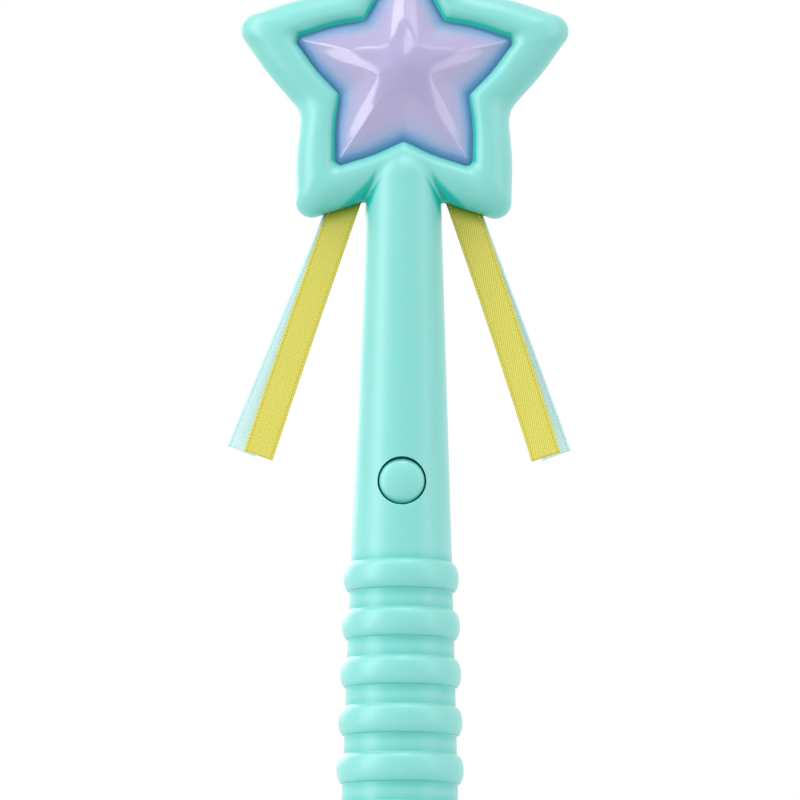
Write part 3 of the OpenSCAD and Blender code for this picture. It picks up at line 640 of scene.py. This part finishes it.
# Battery door: a piece of the ringed grip in the same mint ABS, with a tongue that hooks under the rear shell above
# and a screwed boss below.
door = copy_of(body, "battery_door_form")
carve(door, [block("door_block", (-11.4, 4, 13.9), (11.4, 34, 81.3))], "INTERSECT")
carve(door, [bore(0.15)])
stub = carve(y_rod("boss", 3.8, 0, 20.0, 10.7, 16), [block("riser", (-5, 10, 78.9), (5, 18, 81.1))], "UNION")
carve(stub, [bore(1.0)], "INTERSECT")
carve(door, [stub, block("tongue", (-5, 10, 78.9), (5, 11.2, 85.5))], "UNION")
carve(door, [y_rod("door_counterbore", 3.1, 0, 20.0, 13.6, 34), y_rod("door_hole", 1.6, 0, 20.0, 9, 15)])
in_metres(door)
door.data.materials.clear()
door.data.materials.append(mint_plastic)
# Painted shade in the door's folds, undersides and gaps.
paint_crease_shade(door)
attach(door, "door")
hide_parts("battery_door")
bpy.data.objects.remove(body)


# Lamp set behind the lens: a white reflector tray, a white board, three clear lamps and two red wires. The tray and
# board are clamped behind the lens flange; they are CAD solids with their own finishes.
def finish_node(node, material):
    """Gives a carried-over CAD node its finish."""
    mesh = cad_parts[node].data
    mesh.materials.clear()
    mesh.materials.append(material)


finish_node("reflector_tray", moulded_plastic("tray_white", linear(238, 238, 234), 0.3))
finish_node("led_board", moulded_plastic("lamp_board_white", linear(226, 228, 222), 0.45, 0.12))
lamp_clear = moulded_plastic("lamp_epoxy", linear(232, 232, 214), 0.08, 0.6, 0.02, 0.4)
finish_node("star_leds", lamp_clear)
finish_node("led_wires", moulded_plastic("wire_red_sleeve", linear(196, 40, 36), 0.4, 0.5))


# Switch parts behind the button: a translucent silicone dome, the green control board with black components, and two
# screws that hold the board to its posts.
finish_node("button_dome", moulded_plastic("dome_silicone", linear(214, 218, 216), 0.5, 0.3, 0.05, 0.5))

board_green, tree, shader = new_material("board_lacquer")
lacquer = {"Color1": linear(26, 110, 62), "Color2": linear(30, 120, 68), "Mortar": linear(64, 150, 92)}
place = put(tree, "ShaderNodeTexCoord").outputs["Object"]
tracks = put(tree, "ShaderNodeTexBrick", {"Vector": place, "Scale": 420.0, "Mortar Size": 0.03, **lacquer})
wire(tree, shader, {
    "Base Color": tracks.outputs["Color"],
    "Normal": raised(tree, tracks.outputs["Fac"], 0.2, 0.00003),
    "Roughness": 0.3,
})
finish_node("control_board", board_green)
finish_node("board_components", moulded_plastic("component_black_epoxy", linear(34, 34, 36), 0.5, 0.1, 0.1))


# Screws: pan-headed steel screws with a cross recess. Six close the shells from behind, two hold the board, and a
# larger one stays captive in the battery door.
def steel_group():
    """Fine turning marks and handling smudges of plated steel, on Object coordinates."""
    group, given, out = new_group(
        "plated_steel", "ShaderNodeTree", {"Bright": "Color", "Dull": "Color"},
        {"Colour": "Color", "Roughness": "Float", "Height": "Float"},
    )
    place = put(group, "ShaderNodeTexCoord").outputs["Object"]
    smudge = noise(group, place, 900.0, 4.0)
    wire(group, out, {
        "Colour": mixed(group, smudge, given["Bright"], given["Dull"]),
        "Roughness": ranged(group, smudge, (0, 1), (0.2, 0.42)),
        "Height": noise(group, place, 4000.0),
    })
    return group


plated_steel = steel_group()


def plated(name, bright, dull):
    """Plated metal with the shared marks."""
    material, tree, shader = new_material(name)
    skin = put(tree, "ShaderNodeGroup", node_tree=plated_steel)
    wire(tree, skin, {"Bright": bright, "Dull": dull})
    wire(tree, shader, {
        "Base Color": skin.outputs["Colour"],
        "Roughness": skin.outputs["Roughness"],
        "Normal": raised(tree, skin.outputs["Height"], 0.15, 0.00002),
        "Metallic": 1.0,
    })
    return material


screw_steel = plated("screw_zinc", linear(206, 208, 210), linear(150, 154, 158))


def screw_master(shank, length, head, rise):
    """One screw along +Y with its seat at the origin: threaded shank, rounded head, tapered cross recess."""
    profile = [(0, -length), (0.5 * shank, -length + 0.2)]
    for turn in range(int((length - 1.6) / 0.7)):
        level = -length + 0.9 + 0.7 * turn
        profile += [(0.8 * shank, level), (shank, level + 0.25), (0.8 * shank, level + 0.5)]
    profile += [(0.85 * shank, -0.3), (0.85 * shank, 0), (head - 0.12, 0), (head, 0.12), (head, 0.35 * rise)]
    for a in np.linspace(0.15, 1, 9):
        profile.append((head * math.cos(a * math.pi / 2), rise * (0.35 + 0.65 * math.sin(a * math.pi / 2))))
    screw = turned("screw_master", [(r, y) for r, y in profile], 40)
    slot_w, slot_l = 0.2 * head, 0.5 * head
    for half_x, half_y in ((slot_l, slot_w / 2), (slot_w / 2, slot_l)):
        corners = np.array([(-half_x, -half_y), (half_x, -half_y), (half_x, half_y), (-half_x, half_y)])
        rings = [[(*corner, z) for corner in k * corners] for k, z in ((0.7, 0.45 * rise), (1.1, 1.2 * rise))]
        carve(screw, [stacked("recess", [np.array(ring) for ring in rings])])
    screw.data.transform(Matrix.Rotation(math.radians(-90), 4, "X"))
    screw.data.shade_smooth()
    screw.data.set_sharp_from_angle(angle=math.radians(35))
    return screw


def screw_tree():
    """Copies of one screw on the points of a mesh."""
    tree, given, out = new_group(
        "screw_places", "GeometryNodeTree", {"Geometry": "Geometry", "Screw": "Object", "Finish": "Material"},
        {"Geometry": "Geometry"},
    )
    master = put(tree, "GeometryNodeObjectInfo", {"Object": given["Screw"]})
    turn = put(tree, "FunctionNodeRandomValue", {"Max": math.pi, "Seed": 7}, data_type="FLOAT")
    spin = put(tree, "ShaderNodeCombineXYZ", {"Y": turn.outputs[1]})
    copies = put(tree, "GeometryNodeInstanceOnPoints", {
        "Points": given["Geometry"],
        "Instance": master.outputs["Geometry"],
        "Rotation": spin.outputs["Vector"],
    })
    real = put(tree, "GeometryNodeRealizeInstances", {"Geometry": copies.outputs["Instances"]})
    paint = put(tree, "GeometryNodeSetMaterial", {"Geometry": real.outputs["Geometry"], "Material": given["Finish"]})
    wire(tree, out, {"Geometry": paint.outputs["Geometry"]})
    return tree


def set_inputs(modifier, **values):
    """Sets a Geometry Nodes modifier's inputs; each name gives the identifier of its socket."""
    for item in modifier.node_group.interface.items_tree:
        if item.item_type == "SOCKET" and item.in_out == "INPUT":
            key = item.name.lower().replace(" ", "_")
            if key in values:
                modifier[item.identifier] = values[key]


screw_places = screw_tree()
housing_places = [(x, 3.05, z) for x, z in SCREWS]
for name, node, body_name, master, places in (
    ("housing_screw_set", "housing_screws", "wand", screw_master(1.1, 8, 2.5, 1.8), housing_places),
    ("door_screw_form", "door_screw", "door_fastener", screw_master(1.3, 5.4, 2.7, 1.6), [(0, 13.65, 20.0)]),
):
    screws = mesh_piece(name, places, [])
    fit = screws.modifiers.new("screws", "NODES")
    fit.node_group = screw_places
    set_inputs(fit, screw=master, finish=screw_steel)
    bake(screws)
    bpy.data.objects.remove(master)
    screws.data.transform(Matrix.Scale(0.001, 4))
    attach(screws, body_name)
    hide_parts(node)
finish_node("board_screws", screw_steel)


# Battery set: a white cradle with two AAA cells, nickelled spring and plate contacts, and two black wires. The cells
# lie one up and one down; each steel can is wrapped in a plain two-colour sleeve.
finish_node("battery_cradle", moulded_plastic("cradle_white", linear(232, 232, 228), 0.4))
contact_nickel = plated("contact_nickel", linear(214, 210, 200), linear(168, 164, 154))
for node in ("battery_bridge", "battery_negative_contact", "battery_positive_contact"):
    finish_node(node, contact_nickel)
finish_node("battery_wires", moulded_plastic("wire_black_sleeve", linear(30, 30, 32), 0.42, 0.5))


def cell_sleeve(name, low, high, nub_up):
    """Printed sleeve in two plain colours along the cell, with bare steel at both ends."""
    material, tree, shader = new_material(name)
    place = put(tree, "ShaderNodeTexCoord").outputs["Object"]
    height = put(tree, "ShaderNodeSeparateXYZ", {"Vector": place}).outputs["Z"]
    rise = ranged(tree, height, (low, high) if nub_up else (high, low), (0, 1))
    steel, black, copper = linear(196, 198, 200), linear(44, 48, 54), linear(196, 146, 74)
    metal, printed = (1, 1, 1, 1), (0.3, 0.3, 0.3, 1)
    foot, band, top = 0.025, 0.72, 0.955
    wire(tree, shader, {
        "Base Color": ramped(tree, rise, "CONSTANT", (0, steel), (foot, black), (band, copper), (top, steel)),
        "Metallic": ramped(tree, rise, "CONSTANT", (0, metal), (foot, printed), (top, metal)),
        "Roughness": ranged(tree, noise(tree, place, 300.0), (0, 1), (0.22, 0.4)),
    })
    return material


finish_node("battery_cell_left", cell_sleeve("cell_sleeve_left", 0.0325, 0.077, True))
finish_node("battery_cell_right", cell_sleeve("cell_sleeve_right", 0.0275, 0.072, False))


# Ribbons: two pairs of 8.6 mm satin ribbon, yellow in front of pale blue, clamped on pegs between the shells and
# hanging out of the star's lower edge. Each has a fine diagonal twill and a stitched selvedge, and is cut square.
TAIL, HANG, STITCH_LINE = 3, 73.6, 3.55
CUT_END = SLOT_RUN + HANG


def ribbon_route(side, lean, bend, layer, drift):
    """Centre points in mm, and the ribbon's direction across, from inside the star to the cut end."""
    along = np.linspace(-TAIL, CUT_END, 122)
    angle = np.radians(lean - bend * along / (2 * CUT_END))
    hang = np.maximum(along - SLOT_RUN, 0) / HANG
    centre = PEG[side] + np.stack(
        [along * side * np.sin(angle), layer + drift * hang**2, -along * np.cos(angle)], 1
    )
    across = np.stack([np.cos(angle), 0 * angle, side * np.sin(angle)], 1)
    return along, centre, across


def stitch_tree():
    """Short thread beads set along a line at a fixed pitch, lying along it."""
    sizes = {label: "Float" for label in ("Pitch", "Bead length", "Bead width", "Bead height")}
    tree, given, out = new_group(
        "selvedge_stitches", "GeometryNodeTree", {"Geometry": "Geometry", **sizes, "Thread": "Material"},
        {"Geometry": "Geometry"},
    )
    line = put(tree, "GeometryNodeMeshToCurve", {"Mesh": given["Geometry"]}).outputs["Curve"]
    spots = put(tree, "GeometryNodeCurveToPoints", mode="LENGTH")
    wire(tree, spots, {"Curve": line, "Length": given["Pitch"]})
    along = put(tree, "FunctionNodeAlignRotationToVector", {"Vector": spots.outputs["Tangent"]}, axis="Z")
    flat = put(tree, "FunctionNodeAlignRotationToVector", axis="Y", pivot_axis="Z")
    wire(tree, flat, {"Rotation": along.outputs["Rotation"], "Vector": (0, 1, 0)})
    bead = put(tree, "GeometryNodeMeshUVSphere", {"Segments": 6, "Rings": 4, "Radius": 0.5})
    size = put(tree, "ShaderNodeCombineXYZ")
    wire(tree, size, {"X": given["Bead width"], "Y": given["Bead height"], "Z": given["Bead length"]})
    beads = put(tree, "GeometryNodeInstanceOnPoints", {
        "Points": spots.outputs["Points"],
        "Instance": bead.outputs["Mesh"],
        "Rotation": flat.outputs["Rotation"],
        "Scale": size.outputs["Vector"],
    })
    real = put(tree, "GeometryNodeRealizeInstances", {"Geometry": beads.outputs["Instances"]})
    smooth = put(tree, "GeometryNodeSetShadeSmooth", {"Geometry": real.outputs["Geometry"]})
    paint = put(tree, "GeometryNodeSetMaterial")
    wire(tree, paint, {"Geometry": smooth.outputs["Geometry"], "Material": given["Thread"]})
    wire(tree, out, {"Geometry": paint.outputs["Geometry"]})
    return tree


def twill_group():
    """Satin twill on the ribbon's own (across, along) millimetres: thread height, thread tops and selvedge groove."""
    group, given, out = new_group(
        "satin_twill", "ShaderNodeTree", {"Pitch": "Float", "Slant": "Float"},
        {"Height": "Float", "Shade": "Float", "Groove": "Float"},
    )
    cloth = put(group, "ShaderNodeAttribute", attribute_name="cloth").outputs["Vector"]
    split = put(group, "ShaderNodeSeparateXYZ", {"Vector": cloth}).outputs
    lean = calc(group, "MULTIPLY_ADD", split["X"], given["Slant"], split["Y"])
    rib = calc(group, "SINE", calc(group, "MULTIPLY", calc(group, "DIVIDE", lean, given["Pitch"]), 2 * math.pi))
    thread = calc(group, "MULTIPLY_ADD", rib, 0.2, noise(group, cloth, 3.2, 3.0))
    from_groove = calc(group, "SUBTRACT", calc(group, "ABSOLUTE", split["X"]), STITCH_LINE)
    wire(group, out, {
        "Height": thread,
        "Shade": ranged(group, thread, (0.1, 0.9), (0, 1)),
        "Groove": ranged(group, calc(group, "ABSOLUTE", from_groove), (0.05, 0.2), (1, 0), "SMOOTHSTEP"),
    })
    return group


satin_twill = twill_group()
selvedge_stitches = stitch_tree()


def satin(name, valley, top, groove, star_shadow_colour, sheen):
    """Satin ribbon cloth between two thread colours, with a darker line along each selvedge, and a painted shadow,
    deeper in colour, where it comes out under the star."""
    material, tree, shader = new_material(name)
    weave = put(tree, "ShaderNodeGroup", node_tree=satin_twill)
    wire(tree, weave, {"Pitch": 1.25, "Slant": 2.0})
    under_star = put(tree, "ShaderNodeAttribute", attribute_name="under_star").outputs["Fac"]
    threads = mixed(tree, weave.outputs["Shade"], valley, top)
    sewn = mixed(tree, weave.outputs["Groove"], threads, groove)
    wire(tree, shader, {
        "Base Color": mixed(tree, under_star, sewn, star_shadow_colour),
        "Normal": raised(tree, weave.outputs["Height"], 0.5, 0.00008),
        "Roughness": 0.5,
        "Specular IOR Level": 0.2,
        "Specular Tint": top,
        "Sheen Weight": sheen,
        "Sheen Roughness": 0.4,
        "Sheen Tint": top,
    })
    return material


# The fourth colour of each satin is its painted shadow where it comes out under the star.
ribbon_yellow = satin(
    "satin_yellow", linear(174, 168, 34), linear(234, 227, 130), linear(182, 170, 38), linear(84, 118, 0), 0.08
)
ribbon_blue = satin(
    "satin_blue", linear(190, 230, 234), linear(222, 246, 249), linear(168, 218, 226), linear(120, 196, 204), 0.15
)
RIBBONS = (
    ("ribbon_yellow_left", ribbon_yellow, -1, 19, 1.5, -0.275, -2),
    ("ribbon_blue_left", ribbon_blue, -1, 22, 0, 0.275, 1.5),
    ("ribbon_yellow_right", ribbon_yellow, 1, 19.5, 2.5, -0.275, -3),
    ("ribbon_blue_right", ribbon_blue, 1, 21.4, 1.5, 0.275, 2),
)
for node, cloth, side, lean, bend, layer, drift in RIBBONS:
    along, centre, across = ribbon_route(side, lean, bend, layer, drift)
    widths = np.concatenate([[-4.3, -4.2, -3.9, -3.6], np.linspace(-3.3, 3.3, 9), [3.6, 3.9, 4.2, 4.3]])
    thick = np.interp(np.abs(widths), [0, 3.4, 3.6, 3.9, 4.2, 4.3], [0.13, 0.13, 0.12, 0.165, 0.14, 0.05])
    section = [(w, -t) for w, t in zip(widths, thick)] + [(w, t) for w, t in zip(widths[::-1], thick[::-1])]
    rings = [np.array([c + w * a + [0, t, 0] for w, t in section]) for c, a in zip(centre, across)]
    strip = stacked(node + "_strip", rings)
    count = len(section)
    spread = [(section[i % count][0], along[i // count], 0.0) for i in range(len(strip.data.vertices))]
    strip.data.attributes.new("cloth", "FLOAT_VECTOR", "POINT").data.foreach_set("vector", np.ravel(spread))
    place = np.array([v.co for v in strip.data.vertices])
    # Painted shadow: how near each point lies to the star's edge, where the ribbon's colour deepens as the star's
    # shade.
    close = np.clip(1 + star_inside(place[:, 0], place[:, 2] - STAR_Z, np.zeros(len(place))) / 4.0, 0, 1)
    strip.data.attributes.new("under_star", "FLOAT", "POINT").data.foreach_set("value", close**1.3)
    strip.data.materials.append(cloth)
    strip.data.shade_smooth()
    lines = [centre + w * across + [0, t, 0] for w in (-STITCH_LINE, STITCH_LINE) for t in (-0.125, 0.125)]
    rows = len(centre)
    edging = bpy.data.objects.new(node + "_stitches", bpy.data.meshes.new(node + "_stitches"))
    edging.data.from_pydata(
        [tuple(v) for v in np.concatenate(lines)],
        [(k * rows + i, k * rows + i + 1) for k in range(4) for i in range(rows - 1)],
        [],
    )
    bpy.context.scene.collection.objects.link(edging)
    sew = edging.modifiers.new("stitches", "NODES")
    sew.node_group = selvedge_stitches
    set_inputs(sew, pitch=0.9, bead_length=0.45, bead_width=0.36, bead_height=0.14, thread=cloth)
    bake(edging)
    spread = np.zeros(3 * len(edging.data.vertices))
    edging.data.attributes.new("cloth", "FLOAT_VECTOR", "POINT").data.foreach_set("vector", spread)
    with bpy.context.temp_override(active_object=strip, selected_editable_objects=[strip, edging]):
        bpy.ops.object.join()
    strip.data.transform(Matrix.Scale(0.001, 4))
    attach(strip, "wand")
    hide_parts(node)


# Stage: plain white room with soft boxes left, right, above and behind, a small pale floor, and the photograph's
# camera, which looks up at the wand from a little below.
def soft_box(name, place, target, size, power):
    """Rectangular area light that faces a point."""
    lamp = bpy.data.lights.new(name, "AREA")
    lamp.shape = "RECTANGLE"
    lamp.size, lamp.size_y = size
    lamp.energy = power
    holder = bpy.data.objects.new(name, lamp)
    holder.location = place
    holder.rotation_euler = (Vector(target) - Vector(place)).to_track_quat("-Z", "Y").to_euler()
    bpy.context.scene.collection.objects.link(holder)


soft_box("left_box", (-0.996, -0.529, 0.63), (0, 0, 0.22), (0.5, 1.85), 10.6)
soft_box("right_box", (0.996, -0.529, 0.63), (0, 0, 0.22), (0.5, 1.85), 5.0)
soft_box("top_box", (0.09, -0.45, 1.25), (0, 0, 0.22), (0.3, 0.5), 3)
soft_box("rear_box", (-0.5, 1.0, 0.7), (0, 0, 0.2), (0.9, 0.9), 5)

world = bpy.data.worlds.new("studio")
bpy.context.scene.world = world
world.use_nodes = True
sky = world.node_tree
white = (1, 1, 1, 1)
room_light = sky.nodes["Background"]
wire(sky, room_light, {"Color": white, "Strength": 0.68})
white_wall = put(sky, "ShaderNodeBackground", {"Color": white, "Strength": 1.0})
ray = put(sky, "ShaderNodeLightPath").outputs
mirrored = calc(sky, "MAXIMUM", ray["Is Glossy Ray"], ray["Is Transmission Ray"])
shows = calc(sky, "MAXIMUM", ray["Is Camera Ray"], mirrored)
pick = put(sky, "ShaderNodeMixShader", {"Fac": shows, 1: room_light.outputs[0], 2: white_wall.outputs[0]})
wire(sky, sky.nodes["World Output"], {"Surface": pick.outputs[0]})

floor = mesh_piece("floor", [(-0.3, -0.25, 0), (0.3, -0.25, 0), (0.3, 0.4, 0), (-0.3, 0.4, 0)], [(0, 1, 2, 3)])
floor_material, _, floor_shader = new_material("pale_floor")
floor_shader.inputs["Base Color"].default_value = (0.85, 0.85, 0.85, 1)
floor_shader.inputs["Roughness"].default_value = 0.6
floor.data.materials.append(floor_material)

lens_data = bpy.data.cameras.new("camera")
lens_data.angle = 2 * math.atan(400 / 5000)
lens_data.clip_start = 0.05
camera = bpy.data.objects.new("camera", lens_data)
below = math.radians(8)
target = Vector((-0.00066, 0, 0.1394))
camera.location = target + 1.425 * Vector((0, -math.cos(below), -math.sin(below)))
camera.matrix_world = (
    Matrix.Translation(camera.location)
    @ Matrix.Rotation(math.radians(90 + 8), 4, "X")
    @ Matrix.Rotation(math.radians(0.34), 4, "Z")
)
bpy.context.scene.collection.objects.link(camera)
bpy.context.scene.camera = camera
bpy.context.scene.view_settings.view_transform = "Standard"
